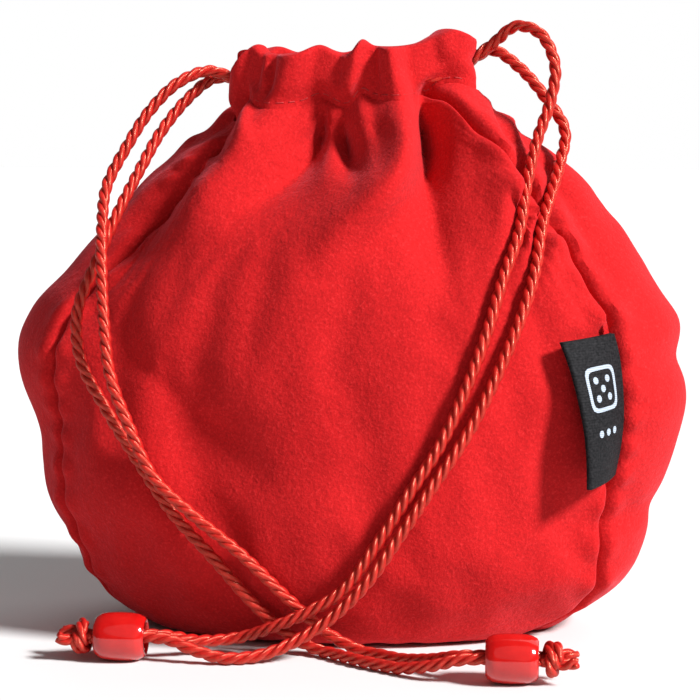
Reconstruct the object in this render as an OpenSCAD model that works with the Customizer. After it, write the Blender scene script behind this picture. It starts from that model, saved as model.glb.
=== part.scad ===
// Drawstring dice bag, standing filled and drawn nearly shut.
// Origin: centre of the flat base, on the table. +Z up, the front faces -Y. Millimetres.

/* [Cloth] */
// Thickness of the cloth panels
cloth_t = 1.2; // [0.8:0.1:1.6]
// Height of the panels, up to the casing
panel_h = 131; // [130:0.5:131]
// Columns of facets across a panel
panel_cols = 16; // [12:2:20]

/* [Casing] */
// Half width of the drawn-up mouth, outside
mouth_a = 32; // [31:0.5:33]
// Half depth of the drawn-up mouth, outside
mouth_b = 16; // [15.5:0.5:17]
// Half angle of cloth in each half of the casing, so that a slit stays at each side
casing_half_angle = 74; // [72:1:75]
// Height of the stitch line above the table
stitch_z = 132.4; // [132:0.1:133]
// Stitches along each half of the casing
stitch_count = 26; // [16:1:32]

/* [Cords] */
// Diameter of the twisted cord
cord_d = 3; // [2.6:0.1:3]
// Sides of the plain tube that stands for the cord
cord_sides = 8; // [8:2:12]

/* [Beads] */
// Length of a bead
bead_l = 12; // [10:0.5:12]
// Largest diameter of a bead
bead_d = 11.4; // [10.8:0.1:11.4]
// Diameter of a bead's flat ends
bead_end_d = 9.4; // [8.8:0.1:10]
// Diameter of the bore that both strands share
bead_bore_d = 7.2; // [7:0.1:7.4]

/* [Label] */
// Width of the folded label, from the seam to its fold
label_w = 17; // [12:0.5:18]
// Height of the label along the seam
label_h = 34; // [24:1:34]
// Thickness of one leaf of the label
label_t = 0.5; // [0.4:0.1:0.6]
// Angle that the label stands off the panel
label_lift = 7; // [6:1:15]

/* [Hidden] */

cloth_colour = "crimson";
cord_colour = "firebrick";
bead_colour = "red";
thread_colour = "darkred";

// Levels of the filled bag: height, half width, half depth, angle of the seam from the front
levels = [
    [0, 47, 25, 58], [3, 53.5, 30, 63], [8, 60, 34, 67], [15, 66.5, 38, 64], [24, 71.5, 41, 60],
    [37, 76.5, 42, 57.5], [52, 81, 42, 55.5], [68, 82, 41, 54.5], [80, 79, 38.5, 54], [90, 72, 35, 52],
    [101, 64.5, 31, 50], [111, 56, 27, 48], [120, 46, 22, 48], [127, 36.5, 18, 48],
    [panel_h, mouth_a, mouth_b, 48]
];
rows_per_level = 2;
side_cols = 10;

// Folded hem: depth from the outside face and height above the panels, outer face then inner face
hem_outer = [[0, 0], [0, 10], [1.2, 12.4], [3, 13], [4.8, 12.4], [5.8, 10], [5.8, 2.6], [4, 0.6], [1.4, 0]];
hem_inner = [[1, 0], [1, 9.6], [1.8, 11.4], [3, 12], [4.1, 11.4], [4.8, 9.6], [4.8, 3], [3.6, 1.6], [1.4, 1]];
hem_cols = 24;
channel_depth = 2.9;
right_loop_z = panel_h + 9.4;
left_loop_z = panel_h + 5.8;
loop_gap_angle = 8;
loop_rings = 24;

bead_z = bead_d / 2;
strand_gap = 3.2;
// The left cord's ends lie at the right, and the right cord's at the left
left_cord_bead_at = [42, -60, bead_z];
right_cord_bead_at = [-50, -46.5, bead_z];
strand_end = bead_l / 2 + 0.5;
knot_l = 5;
knot_d = 7.6;
tail_l = 3;

stitch_l = 2;
stitch_d = 0.5;
stitch_off = 0.4;
seam_thread_d = 0.6;
seam_thread_inset = 1.7;
base_thread_angles = [-48 : 12 : 48];

label_at = [68.4, -24.3, 42];
label_angle = 224 + label_lift;
label_gap = 0.4;

// Routes of the four free strands, from the slit in the casing to the knot
right_inner_route = [
    [29, -1.9, 140.4], [35, -2.6, 144.6], [41, -6, 149], [47, -9, 147], [50.5, -11, 139.5],
    [49.5, -13, 131], [46.5, -16, 122], [44, -21, 111], [42.5, -26, 100.5], [39, -31.5, 90],
    [35.5, -37, 78], [31, -40.8, 65.5], [25, -43, 52], [17.5, -44, 40], [10, -44.4, 28],
    [2, -44.4, 17], [-6.5, -43.6, 11.5], [-15, -41.8, 7.4], [-23.5, -38.4, 4], [-32.5, -41.2, 3.8],
    [-39, -44.9, bead_z], [-56.5, -44.9, bead_z]
];
right_outer_route = [
    [29, 1.9, 140.4], [35, 1, 143.4], [42, -1, 139], [48.5, -3, 131.5], [53, -5, 124],
    [51.5, -11, 114.5], [48, -22, 102.5], [46, -29.5, 90], [42.5, -35, 79], [37, -39.5, 66],
    [31, -41.8, 54], [23.5, -43.4, 42.5], [16, -44.4, 31], [8.5, -45, 20], [1, -45, 12],
    [-6, -45.2, 6.8], [-15, -46.8, 2.6], [-24.5, -49, 1.6], [-32.5, -48.8, 3.4],
    [-39, -48.1, bead_z], [-56.5, -48.1, bead_z]
];
left_inner_route = [
    [-29, -1.9, 136.8], [-35, -2.6, 138.4], [-42, -6, 135.5], [-48.5, -8, 129], [-54, -11, 120],
    [-58.5, -15, 110], [-58.5, -21, 100.5], [-57.5, -27, 89], [-56, -32, 77.5], [-54, -35.5, 66],
    [-49, -38.2, 54], [-43, -40, 42.5], [-33, -41.5, 33.5], [-22, -42.5, 25], [-11, -40.6, 14],
    [-2, -38.4, 5.6], [6.5, -40, 1.7], [15.5, -46, 1.6], [23.5, -53, 3.4], [31, -58.4, bead_z],
    [48.5, -58.4, bead_z]
];
left_outer_route = [
    [-29, 1.9, 136.8], [-34.5, 1, 136.4], [-40.5, -1, 131.5], [-46.5, -5, 123.5], [-51, -11, 114],
    [-55.5, -17.2, 103.5], [-60, -21, 92], [-64, -25, 80], [-62.5, -28.8, 69], [-55.5, -33, 57.5],
    [-48, -35.8, 46.5], [-39, -38.4, 34], [-29, -40, 23.5], [-20, -39.2, 13], [-12, -37.4, 5.2],
    [-3.5, -40, 1.6], [6.5, -48.5, 1.6], [16, -55, 1.7], [24, -59.6, 3.6], [31, -61.6, bead_z],
    [48.5, -61.6, bead_z]
];

function mix(p, q, u) = p + (q - p) * u;

// An angle counted from the front, turned to the side asked for (1 front, -1 back)
function facing(side, angle) = side > 0 ? angle : 180 + angle;

// Smooth value between q and r, with the neighbours p and s
function smooth(p, q, r, s, u) =
    0.5 * (2 * q + (r - p) * u + (2 * p - 5 * q + 4 * r - s) * pow(u, 2)
        + (3 * q - p - 3 * r + s) * pow(u, 3));

// All levels, with smooth ones between those given
last_level = len(levels) - 1;
bag_rows = [
    for (i = [0 : last_level], k = [0 : (i < last_level ? rows_per_level - 1 : 0)])
        smooth(levels[max(i - 1, 0)], levels[i], levels[min(i + 1, last_level)],
            levels[min(i + 2, last_level)], k / rows_per_level)
];
last_row = len(bag_rows) - 1;

// Point on a level of the bag, at an angle from the front (-Y) towards +X, inset from the face
function bag_point(row, angle, inset) = [
    (row[1] - inset) * sin(angle),
    (inset - row[2]) * cos(angle),
    row[0] * (panel_h - inset) / panel_h + inset
];

// Rows of the front panel (side = 1) or the back panel (side = -1)
function panel_grid(side, inset) = [
    for (row = bag_rows) [
        for (j = [0 : panel_cols])
            bag_point(row, facing(side, row[3] * (2 * j / panel_cols - 1)), inset)
    ]
];

// Rows of one side of the gusset, from the front seam to the back seam
function side_row(row, side, inset) = [
    for (j = [0 : side_cols])
        bag_point(row, side * mix(row[3], 180 - row[3], j / side_cols), inset)
];

// Row across the base, under one column of the front panel
function base_row(angle, inset) = [
    for (j = [0 : side_cols])
        let(front = bag_point(bag_rows[0], angle, inset), back = bag_point(bag_rows[0], 180 - angle, inset))
        mix(front, back, j / side_cols)
];

// The gusset runs down the left side, across the base and up the right side
function gusset_grid(inset) = concat(
    [for (i = [0 : last_row]) side_row(bag_rows[last_row - i], -1, inset)],
    [for (j = [1 : panel_cols - 1]) base_row(bag_rows[0][3] * (2 * j / panel_cols - 1), inset)],
    [for (i = [0 : last_row]) side_row(bag_rows[i], 1, inset)]
);

// Closed solid between an outer and an inner grid of points
module sheet(outer, inner) {
    rows = len(outer);
    cols = len(outer[0]);
    half = rows * cols;
    function at(i, j, k) = k * half + i * cols + j;
    function quad(a, b, c, d) = [[a, b, c], [a, c, d]];
    faces = concat(
        [for (i = [0 : rows - 2], j = [0 : cols - 2])
            each quad(at(i, j, 0), at(i + 1, j, 0), at(i + 1, j + 1, 0), at(i, j + 1, 0))],
        [for (i = [0 : rows - 2], j = [0 : cols - 2])
            each quad(at(i, j, 1), at(i, j + 1, 1), at(i + 1, j + 1, 1), at(i + 1, j, 1))],
        [for (j = [0 : cols - 2])
            each quad(at(0, j, 0), at(0, j + 1, 0), at(0, j + 1, 1), at(0, j, 1))],
        [for (j = [0 : cols - 2])
            each quad(at(rows - 1, j + 1, 0), at(rows - 1, j, 0), at(rows - 1, j, 1), at(rows - 1, j + 1, 1))],
        [for (i = [0 : rows - 2])
            each quad(at(i + 1, 0, 0), at(i, 0, 0), at(i, 0, 1), at(i + 1, 0, 1))],
        [for (i = [0 : rows - 2])
            each quad(at(i, cols - 1, 0), at(i + 1, cols - 1, 0), at(i + 1, cols - 1, 1), at(i, cols - 1, 1))]
    );
    polyhedron(points = [for (grid = [outer, inner], row = grid) each row], faces = faces);
}

function unit(v) = v / norm(v);

// Direction of a route at point i
function heading(route, i) = unit(route[min(i + 1, len(route) - 1)] - route[max(i - 1, 0)]);

// Tube of diameter d along a route, with flat ends; no stretch of it runs along side_axis
module tube(route, d, sides, side_axis) {
    n = len(route);
    rings = [
        for (i = [0 : n - 1])
            let(
                along = heading(route, i),
                across = unit(cross(along, side_axis)),
                up = cross(across, along)
            )
            for (k = [0 : sides - 1])
                let(turn = 360 * (k + 0.5) / sides)
                route[i] + d / 2 * (cos(turn) * across + sin(turn) * up)
    ];
    walls = [
        for (i = [0 : n - 2], k = [0 : sides - 1])
            let(a = i * sides + k, b = i * sides + (k + 1) % sides)
            each [[a, b, b + sides], [a, b + sides, a + sides]]
    ];
    ends = [
        [for (k = [0 : sides - 1]) sides - 1 - k],
        [for (k = [0 : sides - 1]) (n - 1) * sides + k]
    ];
    polyhedron(points = rings, faces = concat(walls, ends));
}

// One half of the casing, a hem folded inwards over the cords
module casing(side) {
    function hem_grid(section) = [
        for (i = [0 : hem_cols]) [
            for (p = section)
                let(angle = facing(side, casing_half_angle * (1 - 2 * i / hem_cols)))
                [(mouth_a - p[0]) * sin(angle), (p[0] - mouth_b) * cos(angle), panel_h + p[1]]
        ]
    ];
    color(cloth_colour) sheet(hem_grid(hem_outer), hem_grid(hem_inner));
}

// Stitches that hold the hem of one half of the casing
module casing_stitches(side) {
    color(thread_colour)
        for (i = [0 : stitch_count - 1]) {
            angle = facing(side, asin(sin(casing_half_angle) * (2 * (i + 0.5) / stitch_count - 1)));
            along = atan2(mouth_b * sin(angle), mouth_a * cos(angle));
            translate([(mouth_a + stitch_off) * sin(angle), -(mouth_b + stitch_off) * cos(angle), stitch_z])
                rotate([0, 90, along])
                    cylinder(h = stitch_l, d = stitch_d, center = true, $fn = 8);
        }
}

// Thread of one long seam, just inside the cloth: down one side, along the base, up the other
module seam_thread(side) {
    function thread_point(i, angle) = bag_point(bag_rows[i], facing(side, angle), seam_thread_inset);
    down = [for (i = [last_row - 1 : -1 : 1]) thread_point(i, -bag_rows[i][3])];
    base = [for (angle = base_thread_angles) thread_point(0, angle)];
    up = [for (i = [1 : last_row - 1]) thread_point(i, bag_rows[i][3])];
    color(thread_colour) tube(concat(down, base, up), seam_thread_d, 4, [0, 1, 0]);
}

// Cord held in the casing, once round the mouth from its slit (side = 1 right, -1 left)
module cord_loop(side, z) {
    a = mouth_a - channel_depth;
    b = mouth_b - channel_depth;
    route = [
        for (i = [0 : loop_rings])
            let(angle = mix(loop_gap_angle, 360 - loop_gap_angle, i / loop_rings))
            [side * a * cos(angle), -b * sin(angle), z]
    ];
    color(cord_colour) tube(route, cord_d, cord_sides, [0, 0, 1]);
}

module strand(route) {
    color(cord_colour) tube(route, cord_d, cord_sides, [0, 1, 0]);
}

// Barrel bead with its bore along X
module bead(at) {
    half_l = bead_l / 2;
    crown = (bead_d - bead_end_d) / 2;
    color(bead_colour)
        translate(at)
            rotate([0, 90, 0])
                rotate_extrude($fn = 64)
                    polygon([
                        [bead_bore_d / 2, -half_l],
                        for (u = [-1 : 0.125 : 1]) [bead_end_d / 2 + crown * sqrt(1 - u * u), half_l * u],
                        [bead_bore_d / 2, half_l]
                    ]);
}

// Both ends of one cord tied together past its bead, with two short tails (side = 1 right, -1 left)
module knot(at, side) {
    color(cord_colour)
        translate(at + [side * strand_end, 0, 0])
            rotate([0, side * 90, 0]) {
                rotate_extrude($fn = 48)
                    polygon([
                        [0, 0],
                        for (u = [0 : 15 : 180]) [knot_d / 2 * sin(u) + cord_d / 6, knot_l / 2 * (1 - cos(u))],
                        [0, knot_l]
                    ]);
                for (y = [-strand_gap / 2, strand_gap / 2])
                    translate([0, y, knot_l - 1])
                        cylinder(h = tail_l + 1, d = cord_d, $fn = 32);
            }
}

module front_panel() {
    color(cloth_colour) sheet(panel_grid(1, 0), panel_grid(1, cloth_t));
}

module back_panel() {
    color(cloth_colour) sheet(panel_grid(-1, 0), panel_grid(-1, cloth_t));
}

module gusset_strip() {
    color(cloth_colour) sheet(gusset_grid(0), gusset_grid(cloth_t));
}

// Strip folded in two, both ends in the right-hand seam and its fold towards the front
module label() {
    r = label_t + label_gap / 2;
    color("black")
        translate(label_at)
            rotate(label_angle)
                linear_extrude(label_h)
                    difference() {
                        union() {
                            translate([0, -r]) square([label_w - r, 2 * r]);
                            translate([label_w - r, 0]) circle(r, $fn = 32);
                        }
                        translate([-1, -label_gap / 2]) square([label_w - r + 1, label_gap]);
                        translate([label_w - r, 0]) circle(label_gap / 2, $fn = 32);
                    }
}

front_panel();
back_panel();
gusset_strip();
casing(1);  // casing_front
casing(-1);  // casing_back
casing_stitches(1);  // casing_front_stitches
casing_stitches(-1);  // casing_back_stitches
seam_thread(1);  // front_seam_thread
seam_thread(-1);  // back_seam_thread
cord_loop(-1, left_loop_z);  // left_cord_in_casing
cord_loop(1, right_loop_z);  // right_cord_in_casing
strand(left_inner_route);  // left_cord_inner_strand
strand(left_outer_route);  // left_cord_outer_strand
strand(right_inner_route);  // right_cord_inner_strand
strand(right_outer_route);  // right_cord_outer_strand
bead(left_cord_bead_at);  // left_cord_bead
bead(right_cord_bead_at);  // right_cord_bead
knot(left_cord_bead_at, 1);  // left_cord_knot
knot(right_cord_bead_at, -1);  // right_cord_knot
label();
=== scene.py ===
import math
import random

import bpy
import numpy as np
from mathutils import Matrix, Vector, kdtree, noise


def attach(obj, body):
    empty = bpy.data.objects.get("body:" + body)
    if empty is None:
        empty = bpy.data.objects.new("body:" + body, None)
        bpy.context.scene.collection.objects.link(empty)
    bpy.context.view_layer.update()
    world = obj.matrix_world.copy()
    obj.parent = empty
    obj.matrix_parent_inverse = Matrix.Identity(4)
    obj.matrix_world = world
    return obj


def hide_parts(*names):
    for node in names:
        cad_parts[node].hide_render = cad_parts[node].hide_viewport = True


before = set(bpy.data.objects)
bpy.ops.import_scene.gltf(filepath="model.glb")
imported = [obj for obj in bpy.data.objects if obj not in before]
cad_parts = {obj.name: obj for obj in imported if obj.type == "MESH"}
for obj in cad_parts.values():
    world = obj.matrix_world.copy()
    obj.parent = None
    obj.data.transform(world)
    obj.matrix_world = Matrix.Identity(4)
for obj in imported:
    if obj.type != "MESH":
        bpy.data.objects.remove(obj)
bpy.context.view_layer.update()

MM = 0.001
BODY = "bag"

# ---------------------------------------------------------------- sizes, in millimetres

CORD_D = 3.0
CORD_LAY = 10.0
CLOTH_T = 1.0

# Levels of the filled bag: height, half width, half depth, angle of the seam from the front
LEVELS = [
    (0, 47, 25, 58), (3, 53.5, 30, 63), (8, 60, 34, 67), (15, 66.5, 38, 64), (24, 71.5, 41, 60),
    (37, 76.5, 42, 57.5), (52, 81, 42, 55.5), (68, 82, 41, 54.5), (80, 79, 38.5, 54), (90, 72, 35, 52),
    (101, 64.5, 31, 50), (111, 55.5, 27, 48), (120, 44, 22, 48), (127, 33.8, 18, 48), (131, 28.6, 15, 48),
]
NECK_Z = 131.0
RIM_Z = 144.0

# Further turn of the front left seam, low down and at the neck (degrees)
LEFT_SEAM_TURN = (6, 12)
# Lean of the shoulders to the right: distance, and the heights where it starts, is full and is gone
LEAN = 2.8
LEAN_Z = (78, 108, 114, 130)

# Cloth grid: columns across a panel and a gusset, rows from the base to the neck
FRONT_COLS = 120
SIDE_COLS = 32
ROWS = 150
RING = 2 * (FRONT_COLS + SIDE_COLS)
SEAM_COLUMNS = (0, FRONT_COLS, FRONT_COLS + SIDE_COLS, RING - SIDE_COLS)

# Camera's turn from the front (degrees); the folds of the front are laid out as seen from it
VIEW_TURN = 5

# Folds of the front from the rim down: line (x, z), height (ridge above 0, valley below),
# width at its top and foot, and the share of its length over which it fades out
FRONT_FOLDS = [
    ([(-23.5, 146), (-27, 132), (-38, 121), (-52, 108)], 5.5, (3.0, 7), 0.5),
    ([(-19.8, 146), (-23.5, 134), (-28.5, 127), (-37, 118), (-46, 108), (-54, 98), (-59, 84)],
     -11, (2.1, 7.0), 0.35),
    ([(-18, 146), (-18.5, 134)], 3.2, (1.3, 1.4), 0.5),
    ([(-16, 146), (-16.5, 135), (-21, 128)], -6, (1.1, 1.6), 0.6),
    ([(-9, 146), (-14, 136), (-21, 127), (-29.5, 118.5), (-38, 104), (-45, 92)], 8, (4.4, 9.5), 0.5),
    ([(-1.6, 146), (-3.7, 131), (-7, 122), (-12, 115), (-20, 107), (-30, 99)], -13, (2.0, 7.5), 0.6),
    ([(-2.5, 130), (-4, 123), (-6.5, 117)], 1.6, (1.2, 1.8), 0.6),
    ([(1.2, 131), (0.4, 122), (0.6, 111)], -8, (2.1, 3.6), 0.45),
    ([(0.8, 146), (0.4, 133)], 2.8, (1.2, 1.3), 0.4),
    ([(3.9, 147), (3.4, 140), (1.6, 133), (0.6, 127)], 6, (3.0, 3.2), 0.4),
    ([(8.2, 146), (8.2, 140), (7.4, 130)], -9, (1.3, 1.8), 0.35),
    ([(10.6, 147), (11.6, 139), (13.4, 131), (15, 122), (11, 112), (1, 102), (-9, 94), (-19, 85)],
     10, (2.8, 8.5), 0.65),
    ([(15.6, 147), (16.8, 138)], 2, (1.6, 1.8), 0.4),
    ([(18.2, 145), (20.2, 134), (21.4, 126), (21.6, 117), (19, 103)], -13, (2.0, 4.2), 0.45),
    ([(21, 117), (22.5, 105), (26, 93), (31, 80)], -6, (4, 10), 0.6),
    ([(22.5, 146), (24, 135)], 2.6, (1.5, 1.8), 0.4),
    ([(27.5, 147), (27.5, 136), (31, 127), (37, 115.5), (43, 104), (50, 92), (57, 77)], 6.5, (3, 8), 0.5),
    ([(31, 134), (36, 126), (42, 118)], 2.6, (1.2, 1.8), 0.5),
    ([(29, 138), (35.5, 124), (42, 112), (48, 98)], -4.2, (1.3, 2.4), 0.4),
    ([(32, 134), (42, 121), (52, 109), (62, 92)], -3, (1.3, 2.2), 0.4),
    ([(-60, 80), (-42, 66), (-22, 50), (-4, 35)], -5, (11, 14), 0.45),
    ([(-56, 48), (-42, 36), (-26, 24)], 2.5, (9, 9), 0.5),
]
# Heights over which the drawn mouth comes to hold the folds in, and its share of a valley and a ridge
GRIP_Z = (121, NECK_Z)
GRIP = (0.7, 0.35)
BACK_GATHERS = 13

# Settling of the cloth: frames, hold towards the first shape, furthest move
SETTLE_FRAMES = 14
SETTLE_HOLD = (0.15, 0.8)
SETTLE_CAP = 2.5

# Pressing the cloth in under cords and label: rounds, how near things count, and how much
# further each move goes to make up for its softening
PRESS_ROUNDS = 4
PRESS_NEAR = 12
PRESS_GAIN = 1.4

SEAM_THREAD_R = 0.3

# Rise of the rim at x
RIM_LIFT = [(-29.5, -5.5), (-26.5, -3.5), (-23, 0.8), (-20, -1.2), (-11, -1.2), (-6.5, 0.5), (0.5, -1.8),
            (4.2, 1.8), (7.5, 0.3), (17, 0.8), (21.5, 2.8), (25, 4.5), (29, 2.2)]

# Soft swellings and dents of the sides: side, level, rise, spread
SIDE_SWELLS = [
    (-1, 72, 2.0, 9), (-1, 50, -2.5, 9), (-1, 34, 1.0, 7), (1, 78, 1.0, 4), (1, 69, -1.6, 4), (1, 57, 1.2, 7),
    (1, 33, -1.2, 4), (1, 18, 1.8, 8),
]

# Casing: angle from its middle to its open ends, columns round it, half the thickness of its top
# fold, how far its inner leaf lies inside the neck, and its stitches
CASING_EDGE = 78
CASING_COLS = 240
CASING_FOLD_R = 1.6
CASING_INSIDE = 4.6
STITCH_STEP = 3.0
STITCH_D = 0.3

# Cord loops in the casing: half axes, gap at the slit (degrees), place of the exits and levels
LOOP_AXES = (26.6, 13.1)
LOOP_GAP = 8
RIGHT_LOOP_Z = 140.4
LEFT_LOOP_Z = 136.8
EXIT_X = 29
EXIT_Y = 1.9

# Beads and knots
BEAD_L = 12
BEAD_D = 11.4
BEAD_END = 9.4
BEAD_BORE = 7.2
BEADS_AT = {"left_cord": (42, -60, 5.7), "right_cord": (-50, -46.5, 5.7)}
STRAND_GAP = 3.2
KNOT_R = 2.8

# Label: width to its fold, height, level of its foot, half thickness, thickness of a leaf,
# turn from +X at foot and top (degrees), rise off the seam, bow of its leaves, drop of its fold
LABEL_W = 17
LABEL_H = 34
LABEL_Z = 42
LABEL_R = 0.7
LABEL_LEAF = 0.45
LABEL_TURN = (249, 223)
LABEL_RISE = 1.8
LABEL_BOW = 0.8
LABEL_SKEW = -1.2
# Room left under the label for its swing towards the cloth (degrees)
LABEL_SWING = 6

# Routes of the four free strands, as in the CAD model
ROUTES = {
    "right_cord_inner_strand": [
        (29, -1.9, 140.4), (35, -2.6, 144.6), (41, -6, 149), (47, -9, 147), (50.5, -11, 139.5),
        (49.5, -13, 131), (46.5, -16, 122), (44, -21, 111), (42.5, -26, 100.5), (39, -31.5, 90),
        (35.5, -37, 78), (31, -40.8, 65.5), (25, -43, 52), (17.5, -44, 40), (10, -44.4, 28),
        (2, -44.4, 17), (-6.5, -43.6, 11.5), (-15, -41.8, 7.4), (-23.5, -38.4, 4), (-32.5, -41.2, 3.8),
        (-39, -44.9, 5.7), (-56.5, -44.9, 5.7),
    ],
    "right_cord_outer_strand": [
        (29, 1.9, 140.4), (35, 1, 143.4), (42, -1, 139), (48.5, -3, 131.5), (53, -5, 124),
        (51.5, -11, 114.5), (48, -22, 102.5), (46, -29.5, 90), (42.5, -35, 79), (37, -39.5, 66),
        (31, -41.8, 54), (23.5, -43.4, 42.5), (16, -44.4, 31), (8.5, -45, 20), (1, -45, 12),
        (-6, -45.2, 6.8), (-15, -46.8, 2.6), (-24.5, -49, 1.6), (-32.5, -48.8, 3.4),
        (-39, -48.1, 5.7), (-56.5, -48.1, 5.7),
    ],
    "left_cord_inner_strand": [
        (-29, -1.9, 136.8), (-35, -2.6, 138.4), (-42, -6, 135.5), (-48.5, -8, 129), (-54, -11, 120),
        (-58.5, -15, 110), (-58.5, -21, 100.5), (-57.5, -27, 89), (-56, -32, 77.5), (-54, -35.5, 66),
        (-49, -38.2, 54), (-43, -40, 42.5), (-33, -41.5, 33.5), (-22, -42.5, 25), (-11, -40.6, 14),
        (-2, -38.4, 5.6), (6.5, -40, 1.7), (15.5, -46, 1.6), (23.5, -53, 3.4), (31, -58.4, 5.7),
        (48.5, -58.4, 5.7),
    ],
    "left_cord_outer_strand": [
        (-29, 1.9, 136.8), (-34.5, 1, 136.4), (-40.5, -1, 131.5), (-46.5, -5, 123.5), (-51, -11, 114),
        (-55.5, -17.2, 103.5), (-60, -21, 92), (-64, -25, 80), (-62.5, -28.8, 69), (-55.5, -33, 57.5),
        (-48, -35.8, 46.5), (-39, -38.4, 34), (-29, -40, 23.5), (-20, -39.2, 13), (-12, -37.4, 5.2),
        (-3.5, -40, 1.6), (6.5, -48.5, 1.6), (16, -55, 1.7), (24, -59.6, 3.6), (31, -61.6, 5.7),
        (48.5, -61.6, 5.7),
    ],
}


# ---------------------------------------------------------------- small tools

def collection_link(obj):
    """Put an object into the scene."""
    bpy.context.scene.collection.objects.link(obj)
    return obj


def mesh_object(name, verts, faces, material=None, uvs=None):
    """New smooth object from points in millimetres; uvs gives one pair for each face corner."""
    mesh = bpy.data.meshes.new(name)
    mesh.from_pydata([tuple(c * MM for c in v) for v in verts], [], [tuple(f) for f in faces])
    if uvs is not None:
        layer = mesh.uv_layers.new(name="UVMap")
        layer.data.foreach_set("uv", np.asarray(uvs, dtype=np.float32).ravel())
    mesh.update()
    mesh.polygons.foreach_set("use_smooth", [True] * len(mesh.polygons))
    obj = bpy.data.objects.new(name, mesh)
    if material is not None:
        mesh.materials.append(material)
    return collection_link(obj)


def catmull(points, samples):
    """Points along a smooth curve through the given ones, at even spacing (samples in all)."""
    p = np.array(points, dtype=float)
    p = np.vstack([2 * p[0] - p[1], p, 2 * p[-1] - p[-2]])
    fine = []
    for i in range(1, len(p) - 2):
        knots = [0.0]
        for a, b in ((i - 1, i), (i, i + 1), (i + 1, i + 2)):
            knots.append(knots[-1] + max(np.linalg.norm(p[b] - p[a]), 1e-6) ** 0.5)
        k0, k1, k2, k3 = knots
        for t in np.linspace(k1, k2, 24, endpoint=False):
            a1 = (k1 - t) / (k1 - k0) * p[i - 1] + (t - k0) / (k1 - k0) * p[i]
            a2 = (k2 - t) / (k2 - k1) * p[i] + (t - k1) / (k2 - k1) * p[i + 1]
            a3 = (k3 - t) / (k3 - k2) * p[i + 1] + (t - k2) / (k3 - k2) * p[i + 2]
            b1 = (k2 - t) / (k2 - k0) * a1 + (t - k0) / (k2 - k0) * a2
            b2 = (k3 - t) / (k3 - k1) * a2 + (t - k1) / (k3 - k1) * a3
            fine.append((k2 - t) / (k2 - k1) * b1 + (t - k1) / (k2 - k1) * b2)
    fine.append(p[-2])
    fine = np.array(fine)
    dist = np.concatenate([[0], np.cumsum(np.linalg.norm(np.diff(fine, axis=0), axis=1))])
    at = np.linspace(0, dist[-1], samples)
    return np.stack([np.interp(at, dist, fine[:, k]) for k in range(p.shape[1])], axis=1), dist[-1]


def frames_along(points):
    """Tangent and two cross directions at each point, carried along without twist."""
    tangent = np.gradient(points, axis=0)
    tangent /= np.linalg.norm(tangent, axis=1)[:, None]
    side = np.zeros_like(points)
    start = np.cross(tangent[0], [0, 0, 1.0])
    if np.linalg.norm(start) < 0.1:
        start = np.cross(tangent[0], [0, 1.0, 0])
    side[0] = start / np.linalg.norm(start)
    for i in range(1, len(points)):
        s = side[i - 1] - tangent[i] * np.dot(side[i - 1], tangent[i])
        side[i] = s / np.linalg.norm(s)
    return tangent, side, np.cross(tangent, side)


def tube_mesh(points, radius, sides):
    """Vertices, faces and UVs of a closed tube."""
    points = np.asarray(points, dtype=float)
    n = len(points)
    _, side, up = frames_along(points)
    turn = np.linspace(0, 2 * math.pi, sides, endpoint=False)
    ring = np.cos(turn)[None, :, None] * side[:, None, :] + np.sin(turn)[None, :, None] * up[:, None, :]
    verts = (points[:, None, :] + radius * ring).reshape(-1, 3)
    dist = np.concatenate([[0], np.cumsum(np.linalg.norm(np.diff(points, axis=0), axis=1))])
    faces, uvs = [], []
    for i in range(n - 1):
        for k in range(sides):
            k2 = (k + 1) % sides
            faces.append((i * sides + k, i * sides + k2, (i + 1) * sides + k2, (i + 1) * sides + k))
            u0, u1 = k / sides, (k + 1) / sides
            uvs += [(u0, dist[i]), (u1, dist[i]), (u1, dist[i + 1]), (u0, dist[i + 1])]
    faces.append(tuple(range(sides - 1, -1, -1)))
    uvs += [(0.5, dist[0])] * sides
    faces.append(tuple((n - 1) * sides + k for k in range(sides)))
    uvs += [(0.5, dist[-1])] * sides
    return verts, faces, uvs


def join_parts(parts):
    """One vertex, face and UV list from several."""
    verts, faces, uvs = [], [], []
    for v, f, uv in parts:
        base = len(verts)
        verts += [tuple(p) for p in v]
        faces += [tuple(base + i for i in face) for face in f]
        uvs += uv
    return verts, faces, uvs


# ---------------------------------------------------------------- materials

def new_material(name, slot_colour):
    """New node material with its nodes, its links and its main shader."""
    mat = bpy.data.materials.new(name)
    mat.use_nodes = True
    mat.diffuse_color = (*slot_colour, 1)
    nodes = mat.node_tree.nodes
    return mat, nodes, mat.node_tree.links, nodes["Principled BSDF"]


def add_node(nodes, kind, **values):
    """New shader node; each value sets the input of that name, or else the node's own setting."""
    node = nodes.new(kind)
    for key, value in values.items():
        if key in node.inputs:
            node.inputs[key].default_value = value
        else:
            setattr(node, key, value)
    return node


def ramp(nodes, links, source, stops):
    """Colour ramp over a value; stops are (position, colour)."""
    node = nodes.new("ShaderNodeValToRGB")
    links.new(source, node.inputs["Fac"])
    elements = node.color_ramp.elements
    elements[0].position, elements[0].color = stops[0][0], (*stops[0][1], 1)
    elements[1].position, elements[1].color = stops[-1][0], (*stops[-1][1], 1)
    for position, colour in stops[1:-1]:
        elements.new(position).color = (*colour, 1)
    return node


def bump(nodes, links, height, distance, strength, normal=None):
    """Bump from a height, on top of another bump's normal if one is given."""
    node = add_node(nodes, "ShaderNodeBump", Strength=strength, Distance=distance)
    links.new(height, node.inputs["Height"])
    if normal is not None:
        links.new(normal, node.inputs["Normal"])
    return node


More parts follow.
